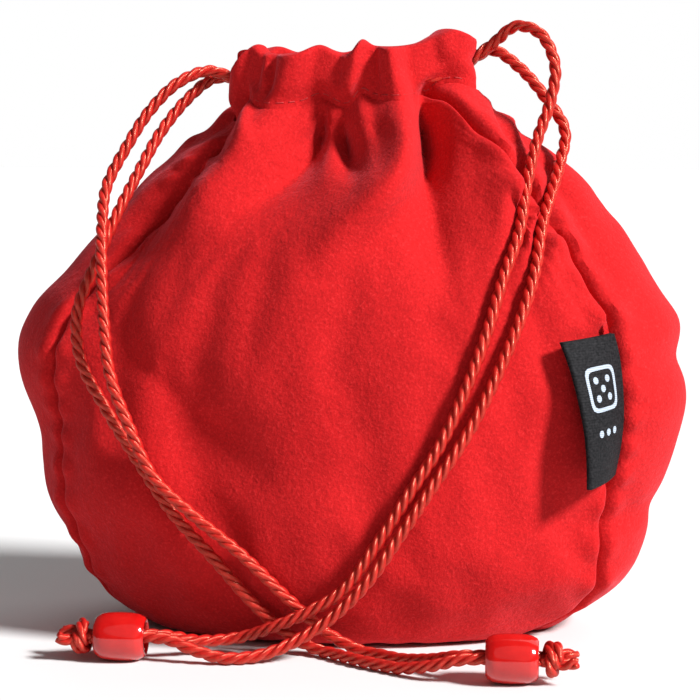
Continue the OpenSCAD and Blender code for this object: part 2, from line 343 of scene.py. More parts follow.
def suede_material():
    """Brushed red suede cloth: short nap, patchy brushing, soft pinkish sheen."""
    mat, nodes, links, shader = new_material("red_suede", (0.62, 0.012, 0.02))
    place = nodes.new("ShaderNodeTexCoord").outputs["Object"]
    nap = add_node(nodes, "ShaderNodeTexNoise", Scale=1500.0, Detail=3.0, Roughness=0.65)
    links.new(place, nap.inputs["Vector"])
    grain = add_node(nodes, "ShaderNodeTexNoise", Scale=520.0, Detail=4.0, Roughness=0.6)
    links.new(place, grain.inputs["Vector"])
    brushed = add_node(nodes, "ShaderNodeTexNoise", Scale=45.0, Detail=4.0, Roughness=0.55)
    links.new(place, brushed.inputs["Vector"])
    fine = ramp(nodes, links, nap.outputs["Fac"],
                [(0.3, (0.30, 0.004, 0.005)), (0.55, (0.50, 0.007, 0.008)), (0.75, (0.72, 0.034, 0.036))])
    patch = ramp(nodes, links, brushed.outputs["Fac"],
                 [(0.3, (0.42, 0.007, 0.009)), (0.7, (0.58, 0.013, 0.015))])
    mix = add_node(nodes, "ShaderNodeMix", data_type="RGBA")
    mix.inputs["Factor"].default_value = 0.5
    links.new(fine.outputs["Color"], mix.inputs["A"])
    links.new(patch.outputs["Color"], mix.inputs["B"])
    links.new(mix.outputs["Result"], shader.inputs["Base Color"])
    pile = bump(nodes, links, nap.outputs["Fac"], 0.00035, 0.55)
    felt = bump(nodes, links, grain.outputs["Fac"], 0.0006, 0.5, pile.outputs["Normal"])
    links.new(felt.outputs["Normal"], shader.inputs["Normal"])
    shader.inputs["Roughness"].default_value = 0.92
    shader.inputs["Specular IOR Level"].default_value = 0.15
    shader.inputs["Sheen Weight"].default_value = 0.25
    shader.inputs["Sheen Roughness"].default_value = 0.42
    shader.inputs["Sheen Tint"].default_value = (1.0, 0.24, 0.30, 1)
    return mat


def cord_material():
    """Shiny twisted rayon: fine yarns run along each ply, with satin peach highlights."""
    mat, nodes, links, shader = new_material("red_cord", (0.6, 0.02, 0.015))
    uv = nodes.new("ShaderNodeTexCoord").outputs["UV"]
    parts = nodes.new("ShaderNodeSeparateXYZ")
    links.new(uv, parts.inputs["Vector"])
    slant = add_node(nodes, "ShaderNodeMath", operation="MULTIPLY_ADD")
    links.new(parts.outputs["Y"], slant.inputs[0])
    slant.inputs[1].default_value = 0.22
    links.new(parts.outputs["X"], slant.inputs[2])
    yarns = add_node(nodes, "ShaderNodeMath", operation="MULTIPLY")
    links.new(slant.outputs[0], yarns.inputs[0])
    yarns.inputs[1].default_value = 12 * 2 * math.pi
    wave = add_node(nodes, "ShaderNodeMath", operation="SINE")
    links.new(yarns.outputs[0], wave.inputs[0])
    place = nodes.new("ShaderNodeTexCoord").outputs["Object"]
    fuzz = add_node(nodes, "ShaderNodeTexNoise", Scale=900.0, Detail=3.0)
    links.new(place, fuzz.inputs["Vector"])
    tone = ramp(nodes, links, fuzz.outputs["Fac"],
                [(0.3, (0.38, 0.006, 0.006)), (0.6, (0.54, 0.010, 0.010)), (0.8, (0.66, 0.030, 0.022))])
    links.new(tone.outputs["Color"], shader.inputs["Base Color"])
    thread = bump(nodes, links, wave.outputs[0], 0.00005, 0.6)
    links.new(thread.outputs["Normal"], shader.inputs["Normal"])
    shader.inputs["Roughness"].default_value = 0.45
    shader.inputs["Specular IOR Level"].default_value = 0.4
    shader.inputs["Specular Tint"].default_value = (1.0, 0.55, 0.32, 1)
    satin = add_node(nodes, "ShaderNodeBsdfGlossy", Color=(1.0, 0.44, 0.30, 1), Roughness=0.22)
    links.new(thread.outputs["Normal"], satin.inputs["Normal"])
    mix = add_node(nodes, "ShaderNodeMixShader")
    mix.inputs[0].default_value = 0.085
    links.new(shader.outputs[0], mix.inputs[1])
    links.new(satin.outputs[0], mix.inputs[2])
    links.new(mix.outputs[0], nodes["Material Output"].inputs["Surface"])
    return mat


def bead_material():
    """Glossy moulded plastic with a faint cloudiness under the surface."""
    mat, nodes, links, shader = new_material("red_bead", (0.7, 0.012, 0.01))
    place = nodes.new("ShaderNodeTexCoord").outputs["Object"]
    cloud = add_node(nodes, "ShaderNodeTexNoise", Scale=160.0, Detail=3.0)
    links.new(place, cloud.inputs["Vector"])
    tone = ramp(nodes, links, cloud.outputs["Fac"],
                [(0.35, (0.46, 0.004, 0.004)), (0.7, (0.58, 0.010, 0.008))])
    links.new(tone.outputs["Color"], shader.inputs["Base Color"])
    ripple = bump(nodes, links, cloud.outputs["Fac"], 0.0002, 0.12)
    links.new(ripple.outputs["Normal"], shader.inputs["Normal"])
    shader.inputs["Roughness"].default_value = 0.13
    shader.inputs["Coat Weight"].default_value = 0.6
    shader.inputs["Coat Roughness"].default_value = 0.05
    shader.inputs["Subsurface Weight"].default_value = 0.08
    shader.inputs["Subsurface Radius"].default_value = (0.002, 0.0004, 0.0003)
    return mat


def label_material():
    """Black woven tape: matt, with fine ribs across."""
    mat, nodes, links, shader = new_material("black_label", (0.02, 0.02, 0.022))
    place = nodes.new("ShaderNodeTexCoord").outputs["Object"]
    ribs = add_node(nodes, "ShaderNodeTexWave", Scale=520.0, Distortion=0.4, bands_direction="Z")
    links.new(place, ribs.inputs["Vector"])
    fuzz = add_node(nodes, "ShaderNodeTexNoise", Scale=1600.0, Detail=2.0)
    links.new(place, fuzz.inputs["Vector"])
    tone = ramp(nodes, links, fuzz.outputs["Fac"],
                [(0.35, (0.004, 0.004, 0.005)), (0.75, (0.020, 0.019, 0.021))])
    links.new(tone.outputs["Color"], shader.inputs["Base Color"])
    weave = bump(nodes, links, ribs.outputs["Fac"], 0.00008, 0.5)
    links.new(weave.outputs["Normal"], shader.inputs["Normal"])
    shader.inputs["Roughness"].default_value = 0.7
    shader.inputs["Specular IOR Level"].default_value = 0.12
    return mat


def pale_material():
    """Off-white thread woven into the label."""
    mat, nodes, links, shader = new_material("pale_thread", (0.7, 0.74, 0.78))
    place = nodes.new("ShaderNodeTexCoord").outputs["Object"]
    ribs = add_node(nodes, "ShaderNodeTexWave", Scale=700.0, Distortion=0.6, bands_direction="Z")
    links.new(place, ribs.inputs["Vector"])
    tone = ramp(nodes, links, ribs.outputs["Fac"], [(0.1, (0.26, 0.30, 0.36)), (0.7, (0.42, 0.48, 0.56))])
    links.new(tone.outputs["Color"], shader.inputs["Base Color"])
    shader.inputs["Roughness"].default_value = 0.55
    return mat


def thread_material():
    """Red sewing thread with a fine twist."""
    mat, nodes, links, shader = new_material("red_thread", (0.35, 0.01, 0.015))
    place = nodes.new("ShaderNodeTexCoord").outputs["Object"]
    twist = add_node(nodes, "ShaderNodeTexWave", Scale=1200.0, Distortion=1.0)
    links.new(place, twist.inputs["Vector"])
    tone = ramp(nodes, links, twist.outputs["Fac"],
                [(0.2, (0.30, 0.006, 0.007)), (0.8, (0.46, 0.010, 0.012))])
    links.new(tone.outputs["Color"], shader.inputs["Base Color"])
    shader.inputs["Roughness"].default_value = 0.6
    return mat


SUEDE = suede_material()
CORD = cord_material()
BEAD = bead_material()
LABEL = label_material()
THREAD = thread_material()
PALE = pale_material()


# ---------------------------------------------------------------- camera, lights and floor

def look_at(obj, target):
    """Turn a camera or lamp towards a point."""
    obj.rotation_euler = (Vector(target) - obj.location).to_track_quat("-Z", "Y").to_euler()


def make_camera():
    """Camera slightly to the right of the front; sets the colours to show as they are."""
    data = bpy.data.cameras.new("camera")
    data.lens = 115.5
    data.shift_y = -0.012
    cam = collection_link(bpy.data.objects.new("camera", data))
    azimuth, distance = math.radians(VIEW_TURN), 0.56
    cam.location = (distance * math.sin(azimuth), -distance * math.cos(azimuth), 0.13)
    look_at(cam, (0, 0, 0.071))
    bpy.context.scene.camera = cam
    bpy.context.scene.view_settings.view_transform = "Standard"


def sun_light(name, azimuth, elevation, power, spread):
    """Even light from far away; azimuth counts from the front (-Y) towards +X."""
    data = bpy.data.lights.new(name, "SUN")
    data.energy = power
    data.angle = math.radians(spread)
    lamp = collection_link(bpy.data.objects.new(name, data))
    turn, rise = math.radians(azimuth), math.radians(elevation)
    lamp.location = (math.sin(turn) * math.cos(rise), -math.cos(turn) * math.cos(rise), math.sin(rise))
    look_at(lamp, (0, 0, 0))


def make_world():
    """White backdrop that gives only part of its brightness to the light."""
    world = bpy.data.worlds.new("world")
    world.use_nodes = True
    nodes, links = world.node_tree.nodes, world.node_tree.links
    surround = nodes["Background"]
    surround.inputs["Strength"].default_value = 0.05
    backdrop = add_node(nodes, "ShaderNodeBackground", Strength=1.0)
    for node in (surround, backdrop):
        node.inputs["Color"].default_value = (1, 1, 1, 1)
    seen = nodes.new("ShaderNodeLightPath").outputs["Is Camera Ray"]
    mix = nodes.new("ShaderNodeMixShader")
    links.new(seen, mix.inputs[0])
    links.new(surround.outputs[0], mix.inputs[1])
    links.new(backdrop.outputs[0], mix.inputs[2])
    links.new(mix.outputs[0], nodes["World Output"].inputs["Surface"])
    bpy.context.scene.world = world


def make_studio():
    """Key light from the right, weak fills and a pale floor."""
    sun_light("key", 65, 37, 6.4, 12)
    sun_light("front_fill", 15, 40, 0.28, 70)
    sun_light("back_fill", 160, 40, 0.9, 70)
    make_world()
    size, level = 4000, -0.02
    corners = [(x * size, y * size, level) for x, y in ((-1, -1), (1, -1), (1, 1), (-1, 1))]
    floor = mesh_object("studio_floor", corners, [(0, 1, 2, 3)])
    mat, _, _, shader = new_material("floor_white", (0.9, 0.9, 0.9))
    shader.inputs["Base Color"].default_value = (0.75, 0.75, 0.75, 1)
    shader.inputs["Roughness"].default_value = 0.8
    floor.data.materials.append(mat)


make_camera()
make_studio()


# ---------------------------------------------------------------- cords

def rope_parts(centre, length, diameter=CORD_D, lay=CORD_LAY, plies=3, sides=12):
    """Three plies laid left-handed around a centre line."""
    ply_r = diameter * 0.5 / (1 + 1 / math.sin(math.pi / plies)) * 1.04
    offset = diameter * 0.5 - ply_r
    _, side, up = frames_along(centre)
    along = np.linspace(0, length, len(centre))
    parts = []
    for ply in range(plies):
        turn = 2 * math.pi * (ply / plies - along / lay)
        path = centre + offset * (np.cos(turn)[:, None] * side + np.sin(turn)[:, None] * up)
        parts.append(tube_mesh(path, ply_r, sides))
    return parts


def rope_centre(points, step=0.45):
    """Even points along a route, held off the table."""
    _, length = catmull(points, 50)
    centre, length = catmull(points, max(20, int(length / step)))
    centre[:, 2] = np.maximum(centre[:, 2], CORD_D * 0.53)
    return centre, length


def dress(obj, slot, *nodes, body=BODY):
    """Tie a piece to its body and hide the CAD nodes that it stands for; slot is not used."""
    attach(obj, body)
    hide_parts(*nodes)


def rope_object(name, routes, *nodes):
    """Twisted rope along each route, as one object that stands for the given CAD nodes."""
    parts = []
    for route in routes:
        centre, length = rope_centre(route)
        parts += rope_parts(centre, length)
    verts, faces, uvs = join_parts(parts)
    rope = mesh_object(name, verts, faces, CORD, uvs=uvs)
    dress(rope, "red_cord", *nodes)
    return rope


def make_strand(name):
    """Free strand of a cord; gives back its centre line."""
    route = ROUTES[name]
    rope = rope_object(name + "_rope", [route], name)
    centre, length = rope_centre(route)
    return centre


STRAND_CENTRES = np.vstack([make_strand(name) for name in ROUTES])


# ---------------------------------------------------------------- shape of the filled bag

def front_folds(x, y, z):
    """Height of all the folds at points of the front."""
    total = np.zeros_like(x)
    turn = math.radians(VIEW_TURN)
    seen = x * math.cos(turn) - y * math.sin(turn)
    for points, height, width, fade in FRONT_FOLDS:
        line, _ = catmull(points, 70)
        dx = seen[..., None] - line[:, 0]
        dz = z[..., None] - line[:, 1]
        gap = dx * dx + dz * dz
        along = np.argmin(gap, axis=-1) / (len(line) - 1)
        spread = width[0] + (width[1] - width[0]) * along
        off = np.sqrt(np.min(gap, axis=-1)) / spread
        shape = np.exp(-off ** 2) if height > 0 else np.exp(-off ** 1.4)
        total += height * smoothstep((1 - along) / fade, 0, 1) * shape
    return total


def smoothstep(v, low, high):
    """0 below low and 1 above high, with a smooth rise between."""
    u = np.clip((v - low) / (high - low), 0, 1)
    return u * u * (3 - 2 * u)


def front_share(angles):
    """1 round the front of the bag and 0 round its back, with a smooth change at the sides."""
    return smoothstep(np.cos(angles), -0.2, 0.12)


def rim_lift(x, front):
    """How far the top of the casing rises or falls at x; the back is level but for small waves."""
    line, _ = catmull(RIM_LIFT, 200)
    wavy = np.interp(x, line[:, 0], line[:, 1])
    return wavy * front + (1 - front) * 0.7 * np.sin(x * 0.55)


def back_folds(x, z):
    """Plain gathers for the back, fading out below the neck."""
    rng = random.Random(4)
    down = NECK_Z - z
    total = np.zeros_like(x)
    for k in range(BACK_GATHERS):
        top = -27 + 4.5 * k + rng.uniform(-0.8, 0.8)
        foot = top * rng.uniform(1.7, 2.2)
        drop = rng.uniform(86, 106)
        height = rng.uniform(2.2, 3.8) * (1 if k % 2 else -1)
        middle = top + (foot - top) * np.clip(down / (NECK_Z - drop), 0, 1.3)
        spread = 2.0 + 5.0 * np.clip(down / 45, 0, 1)
        total += height * smoothstep(z, drop, 128) * np.exp(-((x - middle) / spread) ** 2)
    return total


def all_folds(x, y, z, front):
    """How far the folds stand out from the smooth bag, all the way round it."""
    return front * front_folds(x, y, z) + (1 - front) * back_folds(x, z)


def noise_at(points, scale, seed):
    """Smooth noise from -1 to 1 at each point, as one flat list."""
    return np.array([noise.noise(Vector(p) * scale + Vector((seed, 0, 0))) for p in points.reshape(-1, 3)])


def seam_distance(points, column):
    """Distance across each row from one column of the ring, going the shorter way."""
    step = np.linalg.norm(np.roll(points, -1, axis=1) - points, axis=2)
    round_row = np.cumsum(np.hstack([np.zeros((len(step), 1)), step[:, :-1]]), axis=1)
    whole = step.sum(axis=1, keepdims=True)
    gap = np.abs(round_row - round_row[:, column:column + 1])
    return np.minimum(gap, whole - gap)


def columns(count):
    """Even steps from 0 towards 1, drawn closer at both ends where the seams are."""
    u = np.linspace(0, 1, count, endpoint=False)
    return (u - 0.08 * np.sin(2 * math.pi * u))[None, :]


def ring_grid():
    """Smooth body of the bag: rows from the base to the neck, columns once round from the left seam."""
    rows, _ = catmull(LEVELS, ROWS + 1)
    z, a, b, seam = (rows[:, k:k + 1] for k in range(4))
    u, v = columns(FRONT_COLS), columns(SIDE_COLS)
    extra = LEFT_SEAM_TURN[0] + (LEFT_SEAM_TURN[1] - LEFT_SEAM_TURN[0]) * smoothstep(z, 95, 120)
    angle = np.hstack([(2 * seam + extra) * u - seam - extra, seam + (180 - 2 * seam) * v,
                       180 + seam * (2 * u - 1), 180 + seam + (180 - 2 * seam - extra) * v])
    angle = np.radians(angle)
    points = np.stack([a * np.sin(angle), -b * np.cos(angle), z + 0 * angle], axis=2)
    return points, angle


def grid_normals(points):
    """Outward direction at each point of the ring."""
    along = np.roll(points, -1, axis=1) - np.roll(points, 1, axis=1)
    up = np.gradient(points, axis=0)
    normal = np.cross(along, up)
    return normal / np.linalg.norm(normal, axis=2, keepdims=True)


def sculpted_ring():
    """Body of the bag with its gathers, side bulges, seams and small unevenness."""
    points, angle = ring_grid()
    normal = grid_normals(points)
    x, z = points[..., 0], points[..., 2]
    front = front_share(angle)
    folds = all_folds(x, points[..., 1], z, front)
    folds *= 1 - smoothstep(z, *GRIP_Z) * np.where(folds < 0, *GRIP)
    level = normal * [1, 1, 0]
    level /= np.linalg.norm(level, axis=2, keepdims=True)
    height = np.zeros_like(x)
    for column in SEAM_COLUMNS:
        gap = seam_distance(points, column)
        wave = np.sin(z / 1.25 + 1.3 * np.sin(z / 9.0 + column))
        height -= 2.6 * np.exp(-(gap / 1.1) ** 2)
        height += (0.5 + 0.5 * wave) * np.exp(-((gap - 3.0) / 2.6) ** 2) * smoothstep(z, 2, 20)
    for side, at, rise, spread in SIDE_SWELLS:
        sideways = np.clip(np.sin(angle) * side, 0, 1) ** 2
        height += rise * sideways * np.exp(-((z - at) / spread) ** 2)
    body = smoothstep(z, 1, 14)
    height += body * 1.1 * noise_at(points, 0.035, 3).reshape(x.shape)
    height += body * 0.45 * noise_at(points, 0.10, 8).reshape(x.shape)
    points = points + level * folds[..., None] + normal * height[..., None]
    lift = rim_lift(x, front) * smoothstep(z, 104, NECK_Z)
    points[..., 2] += lift
    points[..., 0] += LEAN * smoothstep(z, *LEAN_Z[:2]) * (1 - smoothstep(z, *LEAN_Z[2:]))
    return points, angle


def ring_index(row, column):
    """Vertex number of a point of the ring; columns run on round it."""
    return row * RING + column % RING


def base_index(i, j):
    """Vertex of the base under front column i, j steps back from the front seam."""
    if i == 0:
        return ring_index(0, -j)
    if i == FRONT_COLS:
        return ring_index(0, FRONT_COLS + j)
    if j == 0:
        return ring_index(0, i)
    if j == SIDE_COLS:
        return ring_index(0, FRONT_COLS + SIDE_COLS + FRONT_COLS - i)
    return (ROWS + 1) * RING + (i - 1) * (SIDE_COLS - 1) + j - 1


def base_points(ring):
    """Inner points of the base, straight lines from the front edge to the back edge."""
    inner = []
    for i in range(1, FRONT_COLS):
        front = ring[0, i]
        back = ring[0, (2 * FRONT_COLS + SIDE_COLS - i) % RING]
        for j in range(1, SIDE_COLS):
            inner.append(front + (back - front) * j / SIDE_COLS)
    return np.array(inner)


def strip_indices():
    """Index grids of the front panel, the back panel and the gusset strip."""
    up = range(ROWS + 1)
    front = [[ring_index(r, c) for c in range(FRONT_COLS + 1)] for r in up]
    start = FRONT_COLS + SIDE_COLS
    back = [[ring_index(r, start + c) for c in range(FRONT_COLS + 1)] for r in up]
    left = [[ring_index(r, -c) for c in range(SIDE_COLS + 1)] for r in reversed(up)]
    under = [[base_index(i, j) for j in range(SIDE_COLS + 1)] for i in range(1, FRONT_COLS)]
    right = [[ring_index(r, FRONT_COLS + c) for c in range(SIDE_COLS + 1)] for r in up]
    return {"front_panel": front, "back_panel": back, "gusset_strip": left + under + right}


def grid_faces(indices):
    """Quads over a grid of vertex numbers."""
    rows = np.array(indices)
    quads = np.stack([rows[:-1, :-1], rows[:-1, 1:], rows[1:, 1:], rows[1:, :-1]], axis=-1)
    return quads.reshape(-1, 4)


def softened(moves):
    """Moves of the ring's points, shared out with their neighbours."""
    grid = moves[:(ROWS + 1) * RING].reshape(ROWS + 1, RING, 3)
    for _ in range(3):
        grid = (np.roll(grid, 1, axis=1) + 2 * grid + np.roll(grid, -1, axis=1)) / 4
        grid[1:-1] = (grid[:-2] + 2 * grid[1:-1] + grid[2:]) / 4
    return np.vstack([grid.reshape(-1, 3), moves[(ROWS + 1) * RING:]])


def press_under(points, normals, things, reach):
    """Push the cloth in softly wherever it would come within reach of these points."""
    tree = kdtree.KDTree(len(things))
    for i, p in enumerate(things):
        tree.insert(Vector(p), i)
    tree.balance()
    for _ in range(PRESS_ROUNDS):
        moves = np.zeros_like(points)
        for i, p in enumerate(points):
            thing, _, gap = tree.find(Vector(p))
            out = float(np.dot(np.array(thing) - p, normals[i]))
            side = math.sqrt(max(gap * gap - out * out, 0.0))
            if gap < PRESS_NEAR and out < reach and side < reach:
                moves[i] = -normals[i] * max(0.0, math.sqrt(reach ** 2 - side ** 2) - out)
        points = points + softened(moves) * PRESS_GAIN
    return points


def thick_sheet(name, outer, inner, indices, material):
    """Closed sheet of cloth between two sets of points, over one grid of them."""
    rows = np.array(indices)
    used, local = np.unique(rows, return_inverse=True)
    local = local.reshape(rows.shape)
    n = len(used)
    top = grid_faces(local)
    under = grid_faces(local)[:, ::-1] + n
    edge = np.concatenate([local[0, :], local[1:, -1], local[-1, -2::-1], local[-2:0:-1, 0]])
    nxt = np.roll(edge, -1)
    rim = np.stack([nxt, edge, edge + n, nxt + n], axis=1)
    faces = np.vstack([top, under, rim])
    obj = mesh_object(name, np.vstack([outer[used], inner[used]]), faces, material)
    obj.data.set_sharp_from_angle(angle=math.radians(50))
    return obj


def vertex_normals(points, faces):
    """Outward direction at each vertex of a set of faces."""
    mesh = bpy.data.meshes.new("normals")
    mesh.from_pydata([tuple(p) for p in points], [], [tuple(f) for f in faces])
    normals = np.empty(len(points) * 3)
    mesh.vertex_normals.foreach_get("vector", normals)
    bpy.data.meshes.remove(mesh)
    return normals.reshape(-1, 3)


def coarse(grid):
    """Every other row and column of a grid."""
    return grid[::2, ::2]


def refined(grid):
    """Coarse grid of moves brought back to the full grid, with its columns joined up."""
    rows = np.zeros((2 * len(grid) - 1,) + grid.shape[1:])
    rows[::2] = grid
    rows[1::2] = (grid[1:] + grid[:-1]) / 2
    full = np.zeros((len(rows), 2 * grid.shape[1]) + grid.shape[2:])
    full[:, ::2] = rows
    full[:, 1::2] = (rows + np.roll(rows, -1, axis=1)) / 2
    inner = (full[:-2] + 2 * full[1:-1] + full[2:]) / 4
    full[1:-1] = (np.roll(inner, 1, axis=1) + 2 * inner + np.roll(inner, -1, axis=1)) / 4
    return full


def settle(ring):
    """Short cloth simulation: slightly slack cloth under light pressure, held at its top and foot."""
    shape = coarse(ring)
    rows, cols = shape.shape[:2]
    index = np.arange(rows * cols).reshape(rows, cols)
    closed = np.hstack([index, index[:, :1]])
    cloth = mesh_object("settling_cloth", shape.reshape(-1, 3), grid_faces(closed))
    held = cloth.vertex_groups.new(name="held")
    for r in range(rows):
        grip = smoothstep(shape[r, :, 2].mean(), 80, 112)
        weight = 1.0 if r < 2 or r > rows - 3 else SETTLE_HOLD[0] + (SETTLE_HOLD[1] - SETTLE_HOLD[0]) * grip
        held.add(index[r].tolist(), float(weight), "REPLACE")
    modifier = cloth.modifiers.new("cloth", "CLOTH")
    settings = modifier.settings
    settings.quality = 6
    settings.mass = 0.15
    settings.tension_stiffness = settings.compression_stiffness = settings.shear_stiffness = 12
    settings.bending_stiffness = 6
    settings.vertex_group_mass = "held"
    settings.shrink_min = -0.02
    settings.use_pressure = True
    settings.uniform_pressure_force = 2
    settings.effector_weights.gravity = 0.3
    modifier.point_cache.frame_end = SETTLE_FRAMES
    for frame_number in range(1, SETTLE_FRAMES + 1):
        bpy.context.scene.frame_set(frame_number)
    solved = cloth.evaluated_get(bpy.context.evaluated_depsgraph_get()).data
    found = np.empty(rows * cols * 3)
    solved.vertices.foreach_get("co", found)
    bpy.context.scene.frame_set(1)
    bpy.data.objects.remove(cloth)
    move = found.reshape(rows, cols, 3) / MM - shape
    size = np.linalg.norm(move, axis=2, keepdims=True)
    move *= SETTLE_CAP * np.tanh(size / SETTLE_CAP) / np.maximum(size, 1e-6)
    return ring + refined(move)


def seam_line(points, normals):
    """Front right seam from the base up, just above its groove, and smoothed."""
    rows = [ring_index(r, FRONT_COLS) for r in range(ROWS + 1)]
    line = points[rows] + normals[rows] * LABEL_RISE
    soft = np.ones(15) / 15
    ends = np.pad(line, ((7, 7), (0, 0)), mode="edge")
    return np.stack([np.convolve(ends[:, k], soft, mode="valid") for k in range(3)], axis=1)


def label_point(seam, u, v, off):
    """Point of the label: u from the seam to the fold, v up from its foot (mm), off its middle plane."""
    root_at = [np.interp(LABEL_Z + v, seam[:, 2], seam[:, k]) for k in (0, 1)]
    turn = math.radians(np.interp(v, (0, LABEL_H), LABEL_TURN))
    bow = LABEL_BOW * math.sin(math.pi * u / LABEL_W)
    x = root_at[0] + u * math.cos(turn) - (off + bow) * math.sin(turn)
    y = root_at[1] + u * math.sin(turn) + (off + bow) * math.cos(turn)
    return x, y, LABEL_Z + v + LABEL_SKEW * u / LABEL_W


def cloth_shape():
    """Points, normals, angles round the bag and index grids of all the cloth below the casing."""
    ring, angles = sculpted_ring()
    ring = settle(ring)
    points = np.vstack([ring.reshape(-1, 3), base_points(ring)])
    strips = strip_indices()
    faces = np.vstack([grid_faces(grid) for grid in strips.values()])
    normals = vertex_normals(points, faces)
    points = press_under(points, normals, STRAND_CENTRES, CORD_D * 0.5 + 0.25)
    seam = seam_line(points, normals)
    swing = math.tan(math.radians(LABEL_SWING))
    leaf = [label_point(seam, u, v, -LABEL_R - swing * u)
            for u in np.arange(2, LABEL_W + 0.8, 0.8) for v in np.arange(-0.8, LABEL_H + 0.8, 0.8)]
    points = press_under(points, normals, leaf, 1.0)
    return points, vertex_normals(points, faces), angles[-1], strips, seam


CLOTH, CLOTH_NORMALS, RING_ANGLES, STRIPS, SEAM_LINE = cloth_shape()


def make_panel(name):
    """One piece of the bag's cloth."""
    panel = thick_sheet(name + "_cloth", CLOTH, CLOTH - CLOTH_NORMALS * CLOTH_T, STRIPS[name], SUEDE)
    dress(panel, "red_suede", name)


def make_seam_thread(name, left_column, right_column):
    """Seam thread just inside the cloth: down one seam, along the base and up the other."""
    under = range(left_column, left_column + FRONT_COLS, 4)
    route = [ring_index(r, left_column) for r in range(ROWS - 8, 3, -4)]
    route += [ring_index(0, c) for c in under]
    route += [ring_index(r, right_column) for r in range(4, ROWS - 7, 4)]
    path = (CLOTH - CLOTH_NORMALS * (CLOTH_T + 0.6))[route]
    thread = mesh_object(name + "_run", *tube_mesh(path, SEAM_THREAD_R, 6)[:2], THREAD)
    dress(thread, "red_thread", name)


for panel_name in STRIPS:
    make_panel(panel_name)
make_seam_thread("front_seam_thread", 0, FRONT_COLS)
make_seam_thread("back_seam_thread", FRONT_COLS + SIDE_COLS, RING - SIDE_COLS)


# ---------------------------------------------------------------- casing round the mouth

def neck_section(angles):
    """Points and outward directions round the smooth neck."""
    _, a, b, _ = LEVELS[-1]
    x, y = a * np.sin(angles), -b * np.cos(angles)
    out = np.stack([np.sin(angles) / a, -np.cos(angles) / b], axis=-1)
    out /= np.linalg.norm(out, axis=-1, keepdims=True)
    return x, y, out


def casing_rows(angles):
    """Outer leaf up, over the rim and down the inner leaf; one row of points each."""
    x, y, out = neck_section(angles)
    front = front_share(angles)
    lift = rim_lift(x, front)
    top = CLOTH[ring_index(ROWS, 0):ring_index(ROWS, 0) + RING]
    neck = np.stack([np.interp(angles, RING_ANGLES, top[:, k], period=2 * math.pi) for k in range(3)], axis=1)
    rows = []

    def row_at(reach, z):
        return np.stack([x + out[:, 0] * reach, y + out[:, 1] * reach, z + lift], axis=1)

    rim_z = RIM_Z - CASING_FOLD_R
    soft = np.array([1, 2, 3, 2, 1]) / 9
    for u in np.linspace(0, 1, 18):
        z = NECK_Z + (rim_z - NECK_Z) * u
        reach = all_folds(x, y, np.full_like(x, z), front)
        even = np.convolve(np.pad(reach, 2, mode="edge"), soft, mode="valid")
        puff = 0.6 + (0.75 - 0.2 * front) * np.logaddexp(0, even - 0.3)
        share = smoothstep(u, 0.0, 0.42)
        crease = 0.3 * math.exp(-((u - 0.12) / 0.06) ** 2)
        rows.append((neck + [0, 0, z - NECK_Z]) * (1 - share) + row_at(puff - crease, z) * share)
    inside = -CASING_INSIDE - 0.45 * np.clip(puff - 0.7, 0, 9)
    middle, half = (puff + inside) / 2, (puff - inside) / 2
    for turn in np.linspace(0, math.pi, 13)[1:-1]:
        rows.append(row_at(middle + half * np.cos(turn), rim_z + CASING_FOLD_R * np.sin(turn) ** 0.7))
    for u in np.linspace(1, 0.12, 10):
        rows.append(row_at(inside, NECK_Z + (rim_z - NECK_Z) * u))
    return np.array(rows)


def make_casing(name, middle_angle):
    """Front or back half of the casing; gives back its rows of points."""
    turn = np.radians(np.linspace(-CASING_EDGE, CASING_EDGE, CASING_COLS) + middle_angle)
    rows = casing_rows(turn)
    indices = np.arange(rows[..., 0].size).reshape(rows.shape[:2])
    outer = rows.reshape(-1, 3)
    inner = outer - vertex_normals(outer, grid_faces(indices)) * CLOTH_T
    casing = thick_sheet(name + "_cloth", outer, inner, indices, SUEDE)
    dress(casing, "red_suede", name)
    return rows


CASINGS = {"casing_front": make_casing("casing_front", 0), "casing_back": make_casing("casing_back", 180)}


def make_stitches(name, rows):
    """Short stitches along the crease at the foot of the casing."""
    foot = rows[2][14:-14]
    middle = foot.mean(axis=0) * [1, 1, 0]
    sunk = foot - (foot - middle) * [0.008, 0.008, 0]
    samples = 400
    line, length = catmull(sunk[::3], samples)
    count = int(length / STITCH_STEP)
    parts = []
    for k in range(count):
        first = int((k + 0.15) / count * samples)
        last = int((k + 0.85) / count * samples)
        path = line[first:last:max(1, (last - first) // 4)]
        parts.append(tube_mesh(path, STITCH_D / 2, 8))
    verts, faces, uvs = join_parts(parts)
    stitches = mesh_object(name + "_thread", verts, faces, THREAD, uvs=uvs)
    dress(stitches, "red_thread", name)


make_stitches("casing_front_stitches", CASINGS["casing_front"])
make_stitches("casing_back_stitches", CASINGS["casing_back"])


# ---------------------------------------------------------------- cord loops, beads and knots

def loop_route(side, z):
    """Cord round the inside of the casing, from its slit (side = 1 right, -1 left)."""
    a, b = LOOP_AXES
    turns = np.radians(np.linspace(LOOP_GAP, 360 - LOOP_GAP, 28))
    round_neck = [(side * a * math.cos(t), -b * math.sin(t), z) for t in turns]
    return [(side * EXIT_X, -EXIT_Y, z)] + round_neck + [(side * EXIT_X, EXIT_Y, z)]


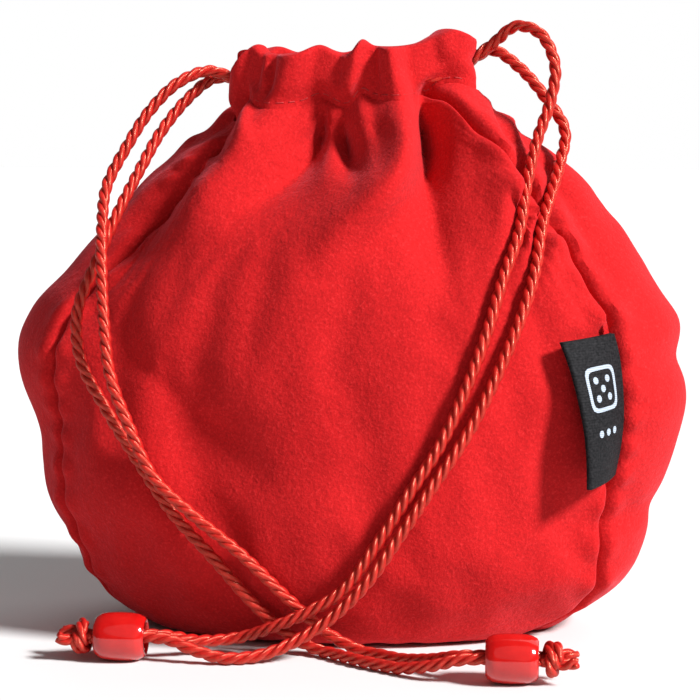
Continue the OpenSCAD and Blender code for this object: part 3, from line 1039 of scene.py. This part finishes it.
def bead_profile():
    """Outline of a bead from one lip of its bore round to the other: along, radius."""
    half, bore, end, most = BEAD_L / 2, BEAD_BORE / 2, BEAD_END / 2, BEAD_D / 2
    lip = [(-half + 0.9, bore), (-half + 0.35, bore + 0.08), (-half + 0.08, bore + 0.3), (-half, bore + 0.6),
           (-half, end - 0.7), (-half + 0.15, end - 0.28), (-half + 0.5, end + 0.1)]
    barrel = [(u * (half - 0.9), end + 0.28 + (most - end - 0.28) * math.sqrt(1 - u * u))
              for u in np.linspace(-1, 1, 17)]
    return lip + barrel + [(-x, r) for x, r in reversed(lip)]


def lathe(profile, sides, at):
    """Ring-shaped body turned about X through a point."""
    count = len(profile)
    verts = [(at[0] + x, at[1] + r * math.cos(t), at[2] + r * math.sin(t))
             for t in np.linspace(0, 2 * math.pi, sides, endpoint=False) for x, r in profile]
    faces = []
    for i in range(sides):
        for k in range(count):
            a, b = i * count, (i + 1) % sides * count
            faces.append((a + k, b + k, b + (k + 1) % count, a + (k + 1) % count))
    return verts, faces


def make_bead(name, at):
    """Turned bead that rides on its own body."""
    bead = mesh_object(name + "_barrel", *lathe(bead_profile(), 72, at), BEAD)
    dress(bead, "red_bead", name, body=name)


def knot_routes(at, side):
    """Both ends wrapped round once and a half past the bead, with two short tails."""
    start = at[0] + side * (BEAD_L / 2 + 0.5)
    wrap = []
    for u in np.linspace(0, 1, 22):
        turn = side * (0.6 + 2 * math.pi * 1.45 * u)
        radius = KNOT_R * smoothstep(u, -0.12, 0.08) * (1 - 0.75 * smoothstep(u, 0.93, 1.05))
        wrap.append((start + side * (1.7 + 2.1 * u), at[1] + radius * math.cos(turn),
                     at[2] + radius * math.sin(turn)))
    tails = []
    for y in (-STRAND_GAP / 2, STRAND_GAP / 2):
        steps = [(0, y, 0), (3, y, 0), (5.5, 1.25 * y, 0.4 * y), (8, 1.7 * y, 0.2)]
        tails.append([(start + side * along, at[1] + across, at[2] + up) for along, across, up in steps])
    return [wrap] + tails


for exit_side, level, node_name in (
        (1, RIGHT_LOOP_Z, "right_cord_in_casing"), (-1, LEFT_LOOP_Z, "left_cord_in_casing")):
    rope_object(node_name + "_rope", [loop_route(exit_side, level)], node_name)
for end_side, cord_name in ((1, "left_cord"), (-1, "right_cord")):
    make_bead(cord_name + "_bead", BEADS_AT[cord_name])
    rope_object(cord_name + "_knot_rope", knot_routes(BEADS_AT[cord_name], end_side), cord_name + "_knot")


# ---------------------------------------------------------------- label

def fold_line(radius):
    """Path of one face of the folded strip in plan: out along the front leaf, back along the other."""
    straight = np.linspace(0, LABEL_W - LABEL_R, 12)
    bend = [(LABEL_W - LABEL_R + radius * math.sin(t), radius * math.cos(t))
            for t in np.linspace(0, math.pi, 11)[1:-1]]
    return [(u, radius) for u in straight] + bend + [(u, -radius) for u in straight[::-1]]


def make_label():
    """Folded strip sewn into the seam."""
    heights = np.linspace(0, LABEL_H, 24)
    grids = [[[label_point(SEAM_LINE, u, v, off) for u, off in fold_line(radius)] for v in heights]
             for radius in (LABEL_R, LABEL_R - LABEL_LEAF)]
    outer, inner = (np.array(grid) for grid in grids)
    indices = np.arange(outer.shape[0] * outer.shape[1]).reshape(outer.shape[:2])
    label = thick_sheet("label_strip", outer.reshape(-1, 3), inner.reshape(-1, 3), indices, LABEL)
    dress(label, "black_label", "label", body="label")


def woven_band(inner_loop, outer_loop):
    """Top and underside points and index grid of a thin band between two closed loops on the label."""
    loops = [inner_loop + inner_loop[:1], outer_loop + outer_loop[:1]]
    points = [np.array([label_point(SEAM_LINE, u, v, LABEL_R + rise) for loop in loops for u, v in loop])
              for rise in (0.10, -0.05)]
    return points, np.arange(2 * len(loops[0])).reshape(2, -1)


def loop_points(centre, half, power, count=40):
    """Closed loop: a circle at power 2, a rounded square at higher ones."""
    loop = []
    for t in np.linspace(0, 2 * math.pi, count, endpoint=False):
        c, s = math.cos(t), math.sin(t)
        radius = half / (abs(c) ** power + abs(s) ** power) ** (1 / power)
        loop.append((centre[0] + radius * c, centre[1] + radius * s))
    return loop


def make_motif():
    """Plain die face with five pips and three dots under it, woven in pale thread."""
    middle = (LABEL_W * 0.52, LABEL_H * 0.66)
    bands = [(loop_points(middle, 4.3, 6), loop_points(middle, 5.2, 6))]
    pips = [(0, 0)] + [(x, y) for x in (-2.1, 2.1) for y in (-2.1, 2.1)]
    spots = [(middle[0] + x, middle[1] + y) for x, y in pips]
    spots += [(middle[0] + x, LABEL_H * 0.36) for x in (-3, 0, 3)]
    bands += [(loop_points(spot, 0.05, 2, 16), loop_points(spot, 0.85, 2, 16)) for spot in spots]
    for k, (inner_loop, outer_loop) in enumerate(bands):
        (top, under), indices = woven_band(inner_loop, outer_loop)
        mark = thick_sheet("label_mark_" + str(k), top, under, indices, PALE)
        dress(mark, "black_label", "label", body="label")


make_label()
make_motif()
